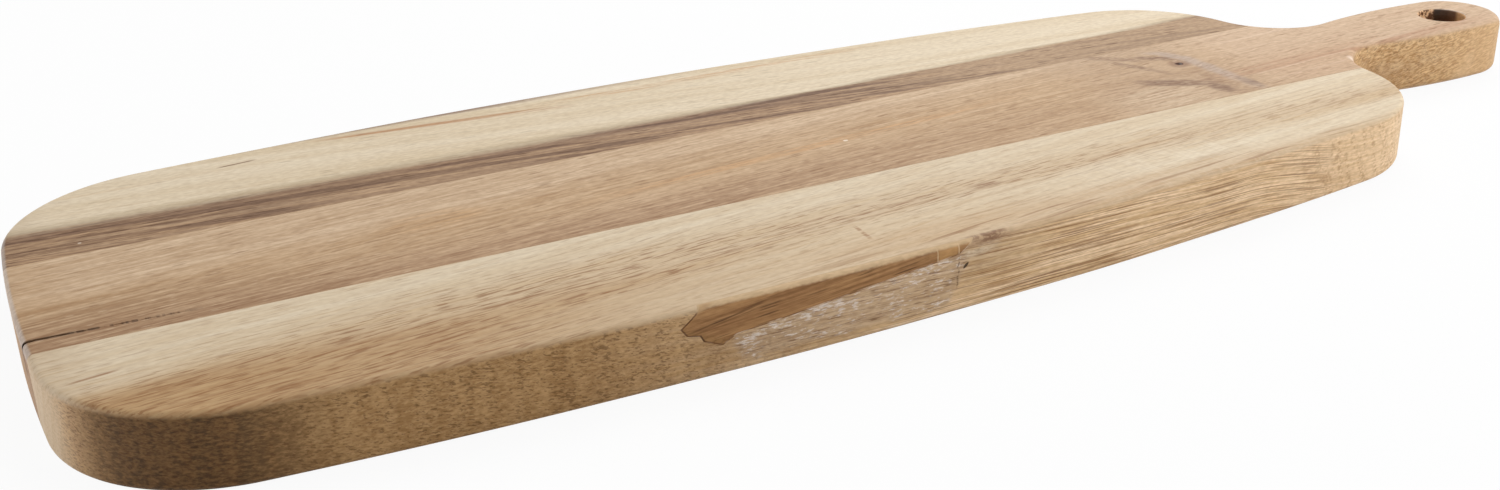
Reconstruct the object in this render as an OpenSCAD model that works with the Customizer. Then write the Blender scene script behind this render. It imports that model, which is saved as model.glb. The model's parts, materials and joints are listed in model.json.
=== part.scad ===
// Paddle-shaped serving board, edge-glued from three staves, lying on its underside.
// X runs from the blade's end to the tip of the handle, Y across the staves, Z up.
// The origin is on the underside, in the middle of the board's length and width.

/* [Blade] */
// Length of the blade, from its end to the front of the shoulders
blade_len = 368.5; // [330:0.5:420]
// Width of the blade where it is widest
blade_w = 152; // [140:1:170]
// Thickness of the board
board_t = 17.5; // [14:0.5:24]
// Distance from the blade's end to where it is widest
widest_at = 147; // [120:1:180]
// Radius of the long curve of each side
side_r = 1410; // [1100:10:2400]
// Radius of the slight bow of the blade's end
end_r = 570; // [400:10:1500]
// Radius of the two corners at the blade's end
corner_r = 39; // [24:1:50]
// Radius of the two shoulders
shoulder_r = 38; // [32:1:46]
// Radius of the round-over along the arrises of the blade
arris_r = 1.5; // [0.5:0.25:4]

/* [Handle] */
// Length of the handle, from the front of the shoulders to its tip
handle_len = 81.5; // [70:0.5:110]
// Width of the handle where it is widest
handle_w = 31.5; // [26:0.5:38]
// Distance from the tip of the handle to where it is widest
handle_widest_from_tip = 28; // [22:1:34]
// Radius of the long bulge of each side of the handle
handle_side_r = 180; // [120:10:400]
// Distance from the board's long axis to the middle of the handle, towards the far side
handle_shift = 1.5; // [0:0.1:3]
// Radius of the round-over along the arrises of the handle
grip_arris_r = 2.8; // [1:0.1:5]
// Radius of the hollow between a shoulder and the handle
neck_r = 20.5; // [14:0.5:26]
// Diameter of the hanging hole
hole_d = 14; // [8:0.5:16]
// Distance from the tip of the handle to the middle of the hanging hole
hole_from_tip = 20.5; // [16:0.5:24]
// Radius of the rounded rim of the hanging hole
hole_rim_r = 0.8; // [0.3:0.1:1.5]

/* [Staves] */
// Width of the centre stave, which carries the handle
centre_stave_w = 49.5; // [44:0.5:56]
// Distance from the board's long axis to the middle of the centre stave, towards the near side
centre_stave_shift = 2.4; // [0:0.1:4]
// Thickness of the glue between two staves
glue_t = 0.2; // [0.1:0.05:0.4]

/* [End check] */
// Length of the drying crack that runs in from the blade's end
check_len = 34; // [15:1:60]
// Width of the crack where it leaves the blade's end
check_w = 0.7; // [0.3:0.1:1.2]
// Depth of the crack below the top face
check_depth = 7; // [3:0.5:12]
// Distance from the near glue line to the middle of the crack, at the blade's end
check_from_glue = 6.4; // [4:0.2:10]
// How far the crack drifts towards the near glue line by its inner end
check_drift = 1.6; // [0:0.1:2.5]

/* [Edge patch] */
// Distance from the blade's end to the middle of the patch in the near edge
patch_at = 162; // [120:1:220]
// Length of the pocket that holds the patch
patch_len = 75; // [50:1:110]
// Depth of the pocket, from the near edge
patch_depth = 1.8; // [1.5:0.1:6]
// Depth of the pocket's lowest point below the top face, near its blunt end
patch_h = 10.2; // [6:0.2:12]
// Thickness of the glue under and around the patch
patch_glue_t = 0.3; // [0.15:0.05:0.5]

/* [Hidden] */

// How far a cut or a slab runs past the face that it leaves through
overrun = 5;

// Straight steps in each curve of half the outline, and in the round-over of an arris
end_steps = 4;
corner_steps = 18;
side_steps = 18;
shoulder_steps = 14;
neck_steps = 10;
handle_steps = 4;
tip_steps = 12;
arris_steps = 4;
rim_steps = 3;
$fn = 64;

board_len = blade_len + handle_len;
blade_end = -board_len / 2;
tip = board_len / 2;
half_w = blade_w / 2;
hole_r = hole_d / 2;

// Faces of the centre stave, where the two glue lines start
near_joint = -centre_stave_shift - centre_stave_w / 2;
far_joint = near_joint + centre_stave_w;

// The point at r1 from c1 and at r2 from c2, to the left of the way from c1 to c2
function meet(c1, r1, c2, r2) =
    let (gap = c2 - c1, d = norm(gap), along = (d * d + r1 * r1 - r2 * r2) / (2 * d))
    let (across = sqrt(r1 * r1 - along * along))
    c1 + (along * gap + across * [-gap.y, gap.x]) / d;

// Direction of a vector, in degrees from the way to the tip
function heading(v) = atan2(v.y, v.x);

// Centres of the curves of half the outline, each tangent to the next
end_centre = [blade_end + end_r, 0];
side_centre = [blade_end + widest_at, half_w - side_r];
corner_centre = meet(side_centre, side_r - corner_r, end_centre, end_r - corner_r);
shoulder_x = blade_end + blade_len - shoulder_r;
shoulder_rise = sqrt(pow(side_r - shoulder_r, 2) - pow(shoulder_x - side_centre.x, 2));
shoulder_centre = [shoulder_x, side_centre.y + shoulder_rise];
side_drop = handle_w / 2 - handle_side_r;
tip_r = (pow(handle_side_r, 2) - pow(handle_widest_from_tip, 2) - pow(side_drop, 2))
    / (2 * (handle_side_r - handle_widest_from_tip));
function handle_side_centre(shift) = [tip - handle_widest_from_tip, side_drop + shift];
function tip_centre(shift) = [tip - tip_r, shift];
function neck_centre(shift) =
    meet(shoulder_centre, shoulder_r + neck_r, handle_side_centre(shift), handle_side_r + neck_r);

// Points along a curve, each with the outline's outward normal after it. The last point is
// left out where the next curve starts there.
function curve(centre, r, from, to, steps, outward = 1, last = 0) =
    [for (i = [0 : steps - 1 + last])
        let (a = from + (to - from) * i / steps)
        [centre.x + r * cos(a), centre.y + r * sin(a), outward * cos(a), outward * sin(a)]];

end_turn = heading(corner_centre - end_centre);
corner_turn = heading(corner_centre - side_centre);
side_turn = heading(shoulder_centre - side_centre);

// Half of the outline from the blade's end round to the tip, with the middle of the handle
// moved outwards by a shift
function half_outline(shift) =
    let (side = handle_side_centre(shift), end = tip_centre(shift), neck = neck_centre(shift))
    let (shoulder_turn = heading(neck - shoulder_centre), tip_turn = heading(end - side))
    concat(
        curve(end_centre, end_r, 180, end_turn, end_steps),
        curve(corner_centre, corner_r, end_turn, corner_turn, corner_steps),
        curve(side_centre, side_r, corner_turn, side_turn, side_steps),
        curve(shoulder_centre, shoulder_r, side_turn, shoulder_turn, shoulder_steps),
        curve(neck, neck_r, shoulder_turn + 180, heading(side - neck) + 360, neck_steps, -1),
        curve(side, handle_side_r, heading(neck - side), tip_turn, handle_steps),
        curve(end, tip_r, tip_turn, 0, tip_steps, 1, 1));

far_half = half_outline(handle_shift);
near_image = half_outline(-handle_shift);
last = len(far_half) - 1;
near_half = [for (i = [last - 1 : -1 : 1]) let (p = near_image[i]) [p[0], -p[1], p[2], -p[3]]];
outline = concat(far_half, near_half);
count = len(outline);

// Radius of the round-over at a distance along the board: it grows from the blade's to the
// handle's across the neck
grip_start = blade_end + blade_len - shoulder_r / 2;
grip_full = blade_end + blade_len + neck_r;
function arris_at(x) =
    let (share = max(0, min(1, (x - grip_start) / (grip_full - grip_start))))
    arris_r + (grip_arris_r - arris_r) * share * share * (3 - 2 * share);

// Inset and height of each ring round the board, as shares of that radius, and 1 where the
// height is measured down from the top face
lower_rings = [for (i = [0 : arris_steps])
    let (a = 90 * i / arris_steps)
    [1 - sin(a), 1 - cos(a), 0]];
upper_rings = [for (i = [arris_steps : -1 : 0]) [lower_rings[i][0], lower_rings[i][1], 1]];
rings = concat(lower_rings, upper_rings);

// The whole board before it is divided: the outline with every arris rounded over.
// Both flat faces are strips between a point of the far half and its fellow on the near half.
module board_blank() {
    points = [for (ring = rings, p = outline)
        let (r = arris_at(p[0]), rise = ring[1] * r)
        [p[0] - ring[0] * r * p[2], p[1] - ring[0] * r * p[3], ring[2] == 1 ? board_t - rise : rise]];
    top = count * (len(rings) - 1);
    walls = [for (k = [0 : len(rings) - 2], i = [0 : count - 1])
        let (j = (i + 1) % count, b = k * count, even = arris_at(outline[i][0]) == arris_at(outline[j][0]))
        each (even ? [[b + i, b + j, b + count + j, b + count + i]]
            : [[b + i, b + j, b + count + j], [b + i, b + count + j, b + count + i]])];
    strips = concat(
        [[0, 1, count - 1]],
        [for (i = [1 : last - 2]) [i, i + 1, count - i - 1, count - i]],
        [[last - 1, last, last + 1]]);
    underside = [for (s = strips) [for (i = [len(s) - 1 : -1 : 0]) s[i]]];
    top_face = [for (s = strips) [for (i = s) top + i]];
    polyhedron(points, concat(walls, underside, top_face));
}

// The part of the board between two planes across its width
module slab(from_y, to_y) {
    intersection() {
        board_blank();
        translate([blade_end - overrun, from_y, -overrun])
            cube([board_len + 2 * overrun, to_y - from_y, board_t + 2 * overrun]);
    }
}

// The hanging hole and the rounding of its two rims
rim_profile = concat(
    [[0, board_t + overrun], [hole_r + hole_rim_r, board_t + overrun]],
    [for (i = [0 : rim_steps]) let (a = 90 * i / rim_steps)
        [hole_r + hole_rim_r * (1 - sin(a)), board_t - hole_rim_r * (1 - cos(a))]],
    [[0, board_t - hole_rim_r]]);

module hanging_hole() {
    translate([tip - hole_from_tip, 0, 0]) {
        translate([0, 0, -overrun])
            cylinder(r = hole_r, h = board_t + 2 * overrun);
        rotate_extrude()
            polygon(rim_profile);
        translate([0, 0, board_t])
            mirror([0, 0, 1])
                rotate_extrude()
                    polygon(rim_profile);
    }
}

// The crack's way along its length, as shares of its length and of its drift
check_way_shares = [[0, 0], [0.2, 0.1], [0.45, 0.5], [0.7, 0.6], [1, 1]];

module end_check() {
    start = near_joint + check_from_glue;
    half_mouth = check_w / 2;
    way = [for (s = check_way_shares)
        [blade_end + s[0] * check_len, start - s[1] * check_drift, (1 - s[0]) * half_mouth]];
    mouth = [blade_end - overrun, start, half_mouth];
    edge = concat([mouth], way);
    translate([0, 0, board_t - check_depth])
        linear_extrude(height = check_depth + overrun)
            polygon(concat(
                [for (p = edge) [p[0], p[1] + p[2]]],
                [for (i = [len(edge) - 2 : -1 : 0]) let (p = edge[i]) [p[0], p[1] - p[2]]]));
}

// The pocket's lower edge from its blunt end to its fine end, as shares of the pocket's
// length and of its height below the top face
pocket_shares = [[0.06, 0], [0.045, 0.16], [0, 0.42], [0.02, 0.62], [0.06, 0.68], [0.07, 0.82],
    [0.13, 1], [0.175, 0.83], [0.945, 0.28], [1, 0]];
patch_x = blade_end + patch_at;
patch_turn = asin((patch_x - side_centre.x) / side_r);
patch_y = -side_centre.y - side_r * cos(patch_turn);

// The room cut into the near edge, or the room that the patch fills in it, which is
// smaller by the glue on every side but the open ones
module patch_room(glue) {
    lower_edge = [for (s = pocket_shares) [s[0] * patch_len, board_t - s[1] * patch_h]];
    above = board_t + overrun;
    translate([patch_x, patch_y, 0])
        rotate([0, 0, patch_turn])
            translate([-patch_len / 2, patch_depth - glue, 0])
                rotate([90, 0, 0])
                    linear_extrude(height = patch_depth + overrun)
                        offset(delta = -glue)
                            polygon(concat(lower_edge, [[patch_len, above], [lower_edge[0].x, above]]));
}

module far_stave() {
    color("burlywood")
        slab(far_joint + glue_t, half_w + overrun);
}

module far_glue_line() {
    color("peru")
        slab(far_joint, far_joint + glue_t);
}

module centre_stave() {
    color("tan")
        difference() {
            slab(near_joint, far_joint);
            hanging_hole();
            end_check();
        }
}

module near_glue_line() {
    color("peru")
        slab(near_joint - glue_t, near_joint);
}

module near_stave() {
    color("wheat")
        difference() {
            slab(-half_w - overrun, near_joint - glue_t);
            patch_room(0);
        }
}

module edge_patch() {
    color("sienna")
        intersection() {
            board_blank();
            patch_room(patch_glue_t);
        }
}

module patch_glue() {
    color("gainsboro")
        difference() {
            intersection() {
                board_blank();
                patch_room(0);
            }
            patch_room(patch_glue_t);
        }
}

far_stave();
far_glue_line();
centre_stave();
near_glue_line();
near_stave();
edge_patch();
patch_glue();
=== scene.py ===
# The look of a paddle-shaped serving board, glued up from three staves of wood.
# Everything is in metres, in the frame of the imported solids: X runs from the blade's end
# to the tip of the handle, Y across the staves from the near edge to the far one, Z up.
import json
import math

import bmesh
import bpy
from mathutils import Matrix, Vector


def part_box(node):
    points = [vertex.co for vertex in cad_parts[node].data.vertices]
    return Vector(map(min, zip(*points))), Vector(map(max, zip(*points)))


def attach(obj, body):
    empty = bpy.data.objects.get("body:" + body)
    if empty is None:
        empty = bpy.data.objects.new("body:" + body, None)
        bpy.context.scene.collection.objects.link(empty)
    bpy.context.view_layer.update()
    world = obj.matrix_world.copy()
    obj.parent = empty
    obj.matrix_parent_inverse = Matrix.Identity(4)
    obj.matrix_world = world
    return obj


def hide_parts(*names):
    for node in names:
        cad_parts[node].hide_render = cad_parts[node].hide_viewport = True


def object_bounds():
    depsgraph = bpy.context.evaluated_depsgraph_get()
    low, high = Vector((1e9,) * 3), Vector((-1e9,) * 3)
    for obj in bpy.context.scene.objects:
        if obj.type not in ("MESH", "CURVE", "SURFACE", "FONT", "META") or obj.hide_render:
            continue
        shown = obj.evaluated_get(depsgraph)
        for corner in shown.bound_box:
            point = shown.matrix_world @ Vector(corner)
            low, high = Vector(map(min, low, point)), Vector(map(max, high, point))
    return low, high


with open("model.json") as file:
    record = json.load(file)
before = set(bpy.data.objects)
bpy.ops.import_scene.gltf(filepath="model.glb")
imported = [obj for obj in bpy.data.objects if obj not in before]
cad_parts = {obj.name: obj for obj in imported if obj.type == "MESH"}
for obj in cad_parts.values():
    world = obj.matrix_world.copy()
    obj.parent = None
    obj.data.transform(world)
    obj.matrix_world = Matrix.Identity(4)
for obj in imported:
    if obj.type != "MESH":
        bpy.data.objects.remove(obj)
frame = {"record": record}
cad_low, cad_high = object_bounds()

# Sizes in millimetres. The box, the joints and the hole come from the frame, and the
# curves of the outline repeat the sizes of the solids.
MM = 0.001
LENGTH = (cad_high.x - cad_low.x) / MM
HALF_WIDTH = cad_high.y / MM
THICKNESS = cad_high.z / MM
BLADE_END = -LENGTH / 2
BLADE_LEN = 368.5
WIDEST_AT = 147.0
SIDE_R = 1410.0
END_R = 570.0
CORNER_R = 39.0
SHOULDER_R = 38.0
NECK_R = 20.5
HANDLE_W = 31.5
HANDLE_WIDEST_FROM_TIP = 28.0
HANDLE_SIDE_R = 180.0
HANDLE_SHIFT = 1.5
ARRIS_R = 1.5
GRIP_ARRIS_R = 2.8
NEAR_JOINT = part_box("centre_stave")[0].y / MM
FAR_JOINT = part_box("centre_stave")[1].y / MM
NEAR_STAVE_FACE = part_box("near_stave")[1].y / MM
FAR_STAVE_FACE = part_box("far_stave")[0].y / MM
HOLE = next(m for m in frame["record"]["mounts"] if m["name"] == "hanging_hole")
HOLE_X = HOLE["pos_m"][0] / MM
HOLE_R = HOLE["dims"]["r_mm"]
HOLE_RIM_R = (THICKNESS - HOLE["dims"]["length_mm"]) / 2
OVERRUN = 4.0

# The repaired place in the near edge
PATCH_AT = 162.0
PATCH_LEN = 75.0
PATCH_DEPTH = 1.8
PATCH_H = 10.2
PATCH_GLUE_T = 0.3
PATCH_GAP = 0.1
PATCH_GAP_DEPTH = 0.6
PATCH_GAP_TOP = 15.2
PATCH_GAP_FOOT = 9.2
PATCH_GAP_SHARE = 0.15
POCKET_SHARES = [(0.06, 0), (0.045, 0.16), (0, 0.42), (0.02, 0.62), (0.06, 0.68), (0.07, 0.82),
                 (0.13, 1), (0.175, 0.83), (0.945, 0.28), (1, 0)]
BLUNT_END_POINTS = 7

# The drying crack: millimetres from the blade's end, drift across, and half its width
CRACK_Y = NEAR_JOINT + 6.4
CRACK_DEPTH = 7.0
SHORT_CRACK_DEPTH = 2.8
SHORT_CRACK_LEN = 10.0
CRACK_RUNS = [
    [(-3, 0.0, 0.55), (0.8, 0.05, 0.5), (2.1, -0.12, 0.56), (3.4, 0.1, 0.34), (5.2, -0.08, 0.46),
     (6.9, 0.02, 0.22), (8.8, -0.22, 0.42), (10.9, -0.16, 0.2), (12.6, -0.42, 0.34),
     (14.8, -0.4, 0.16), (17.4, -0.66, 0.05)],
    [(17.9, -0.62, 0.05), (20.1, -0.74, 0.28), (22.8, -0.8, 0.05)],
    [(23.2, -0.95, 0.04), (25.6, -1.0, 0.24), (28.2, -1.18, 0.04)],
    [(29.3, -1.2, 0.04), (31.8, -1.42, 0.2), (34.0, -1.5, 0.04)],
]
KNOT = (325.0, 3.3)
KNOT_PIT_R = 0.9
KNOT_PIT_DEPTH = 0.8

# Unevenness that sanding by hand leaves: a share of the round-over, in waves of these lengths
SANDING_SHARE = 0.07
SANDING_WAVES = (31.0, 13.0, 17.0)
TOP_PHASE = 1.3
UNDERSIDE_PHASE = 4.0
SHARP_ANGLE = math.radians(33)

# Straight steps in each curve
END_STEPS = 8
CORNER_STEPS = 30
SIDE_STEPS = 60
SHOULDER_STEPS = 24
NECK_STEPS = 18
HANDLE_STEPS = 10
TIP_STEPS = 32
ARRIS_STEPS = 7
HOLE_STEPS = 96
HOLE_RIM_STEPS = 6
KNOT_PIT_STEPS = 14

# The camera that took the picture: turn, dip and roll in radians, place in metres
CAMERA_TURNS = (0.46343, 0.40975, -0.02746)
CAMERA_PLACE = (-0.22923, -0.36732, 0.17061)
FOCAL_PX = 1684.5
PHOTO_WIDTH_PX = 1500
SENSOR_WIDTH = 36.0

# Stage sizes in metres, and the white of the background
FLOOR_REACH = 6.0
FLOOR_DROP = 0.0002
WHITE = (1.0, 1.0, 1.0, 1.0)


def meeting_point(first, first_r, second, second_r):
    """The point at first_r from first and second_r from second, left of the way between them."""
    gap = second - first
    along = (gap.length_squared + first_r ** 2 - second_r ** 2) / (2 * gap.length)
    across = math.sqrt(first_r ** 2 - along ** 2)
    return first + (along * gap + across * Vector((-gap.y, gap.x))) / gap.length


def heading(way):
    return math.atan2(way.y, way.x)


def curve(centre, radius, start, end, steps, outward=1, last=0):
    """Points of a curve, each with the outward normal of the board's outline there."""
    found = []
    for i in range(steps + last):
        angle = start + (end - start) * i / steps
        way = Vector((math.cos(angle), math.sin(angle)))
        found.append((centre + radius * way, outward * way))
    return found


def half_of_outline(shift):
    """Half of the outline, from the blade's end round to the tip of the handle, whose middle
    is moved outwards by a shift."""
    tip = LENGTH / 2
    end_centre = Vector((BLADE_END + END_R, 0))
    side_centre = Vector((BLADE_END + WIDEST_AT, HALF_WIDTH - SIDE_R))
    corner_centre = meeting_point(side_centre, SIDE_R - CORNER_R, end_centre, END_R - CORNER_R)
    shoulder_x = BLADE_END + BLADE_LEN - SHOULDER_R
    shoulder_rise = math.sqrt((SIDE_R - SHOULDER_R) ** 2 - (shoulder_x - side_centre.x) ** 2)
    shoulder_centre = Vector((shoulder_x, side_centre.y + shoulder_rise))
    side_drop = HANDLE_W / 2 - HANDLE_SIDE_R
    tip_r = (HANDLE_SIDE_R ** 2 - HANDLE_WIDEST_FROM_TIP ** 2 - side_drop ** 2)
    tip_r /= 2 * (HANDLE_SIDE_R - HANDLE_WIDEST_FROM_TIP)
    handle_centre = Vector((tip - HANDLE_WIDEST_FROM_TIP, side_drop + shift))
    tip_centre = Vector((tip - tip_r, shift))
    neck_centre = meeting_point(shoulder_centre, SHOULDER_R + NECK_R, handle_centre, HANDLE_SIDE_R + NECK_R)
    end_turn = heading(corner_centre - end_centre)
    corner_turn = heading(corner_centre - side_centre)
    side_turn = heading(shoulder_centre - side_centre)
    shoulder_turn = heading(neck_centre - shoulder_centre)
    neck_turn = heading(handle_centre - neck_centre) + 2 * math.pi
    handle_turn = heading(neck_centre - handle_centre)
    tip_turn = heading(tip_centre - handle_centre)
    return (
        curve(end_centre, END_R, math.pi, end_turn, END_STEPS)
        + curve(corner_centre, CORNER_R, end_turn, corner_turn, CORNER_STEPS)
        + curve(side_centre, SIDE_R, corner_turn, side_turn, SIDE_STEPS)
        + curve(shoulder_centre, SHOULDER_R, side_turn, shoulder_turn, SHOULDER_STEPS)
        + curve(neck_centre, NECK_R, shoulder_turn + math.pi, neck_turn, NECK_STEPS, -1)
        + curve(handle_centre, HANDLE_SIDE_R, handle_turn, tip_turn, HANDLE_STEPS)
        + curve(tip_centre, tip_r, tip_turn, 0, TIP_STEPS, 1, 1)
    )


def mirrored(point, normal):
    return Vector((point.x, -point.y)), Vector((normal.x, -normal.y))


FAR_HALF = half_of_outline(HANDLE_SHIFT)
NEAR_HALF = [mirrored(*p) for p in half_of_outline(-HANDLE_SHIFT)]
OUTLINE = FAR_HALF + NEAR_HALF[-2:0:-1]


def sanded_arris(point, phase):
    """Radius of the round-over at a place on the outline: it grows across the neck, and sanding
    by hand leaves it a little uneven."""
    front = BLADE_END + BLADE_LEN
    share = (point.x - front + SHOULDER_R / 2) / (NECK_R + SHOULDER_R / 2)
    share = min(max(share, 0), 1)
    radius = ARRIS_R + (GRIP_ARRIS_R - ARRIS_R) * share * share * (3 - 2 * share)
    slow, quick, across = SANDING_WAVES
    wave = math.sin(point.x / slow + phase) + math.sin(point.x / quick + point.y / across + 2 * phase)
    return radius * (1 + SANDING_SHARE * wave)


def board_blank():
    """The whole board before it is divided, as a mesh with every arris rounded over."""
    mesh = bmesh.new()
    rings = []
    for upper in (False, True):
        for step in range(ARRIS_STEPS + 1):
            turn = math.pi / 2 * (step if not upper else ARRIS_STEPS - step) / ARRIS_STEPS
            ring = []
            for point, normal in OUTLINE:
                radius = sanded_arris(point, TOP_PHASE if upper else UNDERSIDE_PHASE)
                inset = radius * (1 - math.sin(turn))
                rise = radius * (1 - math.cos(turn))
                spot = point - inset * normal
                height = THICKNESS - rise if upper else rise
                ring.append(mesh.verts.new((spot.x * MM, spot.y * MM, height * MM)))
            rings.append(ring)
    count = len(OUTLINE)
    for below, above in zip(rings, rings[1:]):
        for i in range(count):
            j = (i + 1) % count
            mesh.faces.new((below[i], above[i], above[j], below[j]))
    last = len(FAR_HALF) - 1
    for ring, order in ((rings[0], 1), (rings[-1], -1)):
        strips = [(0, 1, count - 1)]
        strips += [(i, i + 1, count - i - 1, count - i) for i in range(1, last - 1)]
        strips += [(last - 1, last, last + 1)]
        for strip in strips:
            mesh.faces.new([ring[i] for i in strip][::order])
    bmesh.ops.recalc_face_normals(mesh, faces=mesh.faces[:])
    return mesh


def cut_off(mesh, at_y, keep_far):
    """Saws a mesh along a plane across the board's width and closes the sawn face."""
    everything = mesh.verts[:] + mesh.edges[:] + mesh.faces[:]
    way = (0, -1, 0) if keep_far else (0, 1, 0)
    cut = bmesh.ops.bisect_plane(mesh, geom=everything, dist=1e-8, plane_co=(0, at_y * MM, 0),
                                 plane_no=way, clear_outer=True)
    rim = [part for part in cut["geom_cut"] if isinstance(part, bmesh.types.BMEdge)]
    bmesh.ops.holes_fill(mesh, edges=rim, sides=0)
    bmesh.ops.recalc_face_normals(mesh, faces=mesh.faces[:])


def piece_from(name, mesh):
    data = bpy.data.meshes.new(name)
    mesh.to_mesh(data)
    mesh.free()
    piece = bpy.data.objects.new(name, data)
    bpy.context.scene.collection.objects.link(piece)
    return piece


def stave(name, near=None, far=None):
    """The part of the blank between two planes across its width."""
    mesh = board_blank()
    if near is not None:
        cut_off(mesh, near, True)
    if far is not None:
        cut_off(mesh, far, False)
    return piece_from(name, mesh)


def settle(piece):
    """Takes a piece's modifiers into its mesh."""
    bpy.context.view_layer.update()
    evaluated = piece.evaluated_get(bpy.context.evaluated_depsgraph_get())
    made = bpy.data.meshes.new_from_object(evaluated)
    piece.modifiers.clear()
    piece.data = made


def carve(piece, cutter, operation="DIFFERENCE"):
    """Cuts a piece with a cutter, or keeps only what the two share, and removes the cutter."""
    cut = piece.modifiers.new("cut", "BOOLEAN")
    cut.object = cutter
    cut.operation = operation
    cut.solver = "EXACT"
    settle(piece)
    bpy.data.objects.remove(cutter)


def smooth(piece):
    """Shades the round-overs smooth, and keeps flat faces flat and sawn edges crisp."""
    piece.data.shade_smooth()
    piece.data.set_sharp_from_angle(angle=SHARP_ANGLE)
    even = piece.modifiers.new("even", "WEIGHTED_NORMAL")
    even.keep_sharp = True
    even.weight = 100
    settle(piece)


def loft(name, sections):
    """A closed mesh through rings of points in millimetres, all with the same count."""
    mesh = bmesh.new()
    rings = [[mesh.verts.new(Vector(p) * MM) for p in section] for section in sections]
    for low, high in zip(rings, rings[1:]):
        for i in range(len(low)):
            j = (i + 1) % len(low)
            mesh.faces.new((low[i], low[j], high[j], high[i]))
    mesh.faces.new(rings[0])
    mesh.faces.new(rings[-1])
    bmesh.ops.recalc_face_normals(mesh, faces=mesh.faces[:])
    return piece_from(name, mesh)


def hole_cutter():
    """The hanging hole with the rounding of its two rims."""
    profile = [(HOLE_R + HOLE_RIM_R, -OVERRUN)]
    for i in range(HOLE_RIM_STEPS + 1):
        turn = math.pi / 2 * i / HOLE_RIM_STEPS
        profile.append((HOLE_R + HOLE_RIM_R * (1 - math.sin(turn)), HOLE_RIM_R * (1 - math.cos(turn))))
    profile += [(radius, THICKNESS - height) for radius, height in reversed(profile)]
    sections = []
    for radius, height in profile:
        turns = [2 * math.pi * i / HOLE_STEPS for i in range(HOLE_STEPS)]
        sections.append([(HOLE_X + radius * math.cos(a), radius * math.sin(a), height) for a in turns])
    return loft("hole_cutter", sections)


def crack_cutter(run, depth):
    """A wedge along one run of the drying crack, wide at the top face and fine below it."""
    sections = []
    for height, width_share, lean in ((OVERRUN, 1.0, 0.0), (0.0, 1.0, 0.0), (-0.4 * depth, 0.6, 0.1),
                                      (-depth, 0.15, 0.35)):
        ring = []
        for points, side in ((run, 1), (run[::-1], -1)):
            for x, y, half in points:
                across = CRACK_Y + y + lean + side * half * width_share
                ring.append((BLADE_END + x, across, THICKNESS + height))
        sections.append(ring)
    return loft("crack_cutter", sections)


def knot_pit_cutter():
    """A small uneven pit where the pin knot has shrunk."""
    sections = []
    for height, share in ((OVERRUN, 1.0), (0.0, 1.0), (-0.45 * KNOT_PIT_DEPTH, 0.75), (-KNOT_PIT_DEPTH, 0.3)):
        ring = []
        for i in range(KNOT_PIT_STEPS):
            turn = 2 * math.pi * i / KNOT_PIT_STEPS
            radius = KNOT_PIT_R * share * (1 + 0.18 * math.sin(3 * turn) + 0.1 * math.sin(5 * turn + 1))
            ring.append((BLADE_END + KNOT[0] + radius * math.cos(turn),
                         KNOT[1] + radius * math.sin(turn), THICKNESS + height))
        sections.append(ring)
    return loft("knot_pit_cutter", sections)


def patch_frame():
    """Where the pocket sits: millimetres along the near edge, into it, and up."""
    middle = BLADE_END + PATCH_AT
    turn = math.asin((PATCH_AT - WIDEST_AT) / SIDE_R)
    edge_y = SIDE_R - HALF_WIDTH - SIDE_R * math.cos(turn)
    return Matrix.Translation((middle, edge_y, 0)) @ Matrix.Rotation(turn, 4, "Z")


def pocket_outline():
    lower = [Vector((along * PATCH_LEN, THICKNESS - down * PATCH_H)) for along, down in POCKET_SHARES]
    above = THICKNESS + OVERRUN
    return lower + [Vector((PATCH_LEN, above)), Vector((lower[0].x, above))]


def inset(points, distance):
    """A closed outline moved inwards by the same distance on every side."""
    moved = []
    count = len(points)
    turned = sum(points[i].cross(points[(i + 1) % count]) for i in range(count))
    side = 1 if turned > 0 else -1
    for i in range(count):
        before = (points[i] - points[i - 1]).normalized()
        after = (points[(i + 1) % count] - points[i]).normalized()
        first = side * Vector((-before.y, before.x))
        second = side * Vector((-after.y, after.x))
        moved.append(points[i] + distance * (first + second) / (1 + first.dot(second)))
    return moved


def pocket_prism(name, outline, depth):
    """A prism on an outline in the plane of the near edge, from outside it to a depth within."""
    place = patch_frame()
    sections = []
    for into in (-OVERRUN, depth):
        sections.append([place @ Vector((p.x - PATCH_LEN / 2, into, p.y)) for p in outline])
    return loft(name, sections)


def patch_outline():
    """The patch in its pocket, with a gap that the glue hasn't filled at the blunt end."""
    outline = inset(pocket_outline(), PATCH_GLUE_T)
    for i in range(BLUNT_END_POINTS):
        outline[i].x += PATCH_GAP
    return outline


def blunt_end_gap():
    """The front of the glue at the blunt end, where it has shrunk back from the surface."""
    left = -2 * OVERRUN
    right = PATCH_GAP_SHARE * PATCH_LEN
    corners = [Vector((left, PATCH_GAP_FOOT)), Vector((right, PATCH_GAP_FOOT)),
               Vector((right, PATCH_GAP_TOP)), Vector((left, PATCH_GAP_TOP))]
    return pocket_prism("gap_cutter", corners, PATCH_GAP_DEPTH)


far_stave = stave("far_stave_planed", near=FAR_STAVE_FACE)
far_glue_line = stave("far_glue_film", near=FAR_JOINT, far=FAR_STAVE_FACE)
centre_stave = stave("centre_stave_planed", near=NEAR_JOINT, far=FAR_JOINT)
near_glue_line = stave("near_glue_film", near=NEAR_STAVE_FACE, far=NEAR_JOINT)
near_stave = stave("near_stave_planed", far=NEAR_STAVE_FACE)
edge_patch = stave("edge_patch_sliver")
patch_glue = stave("patch_filler_film")

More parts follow.
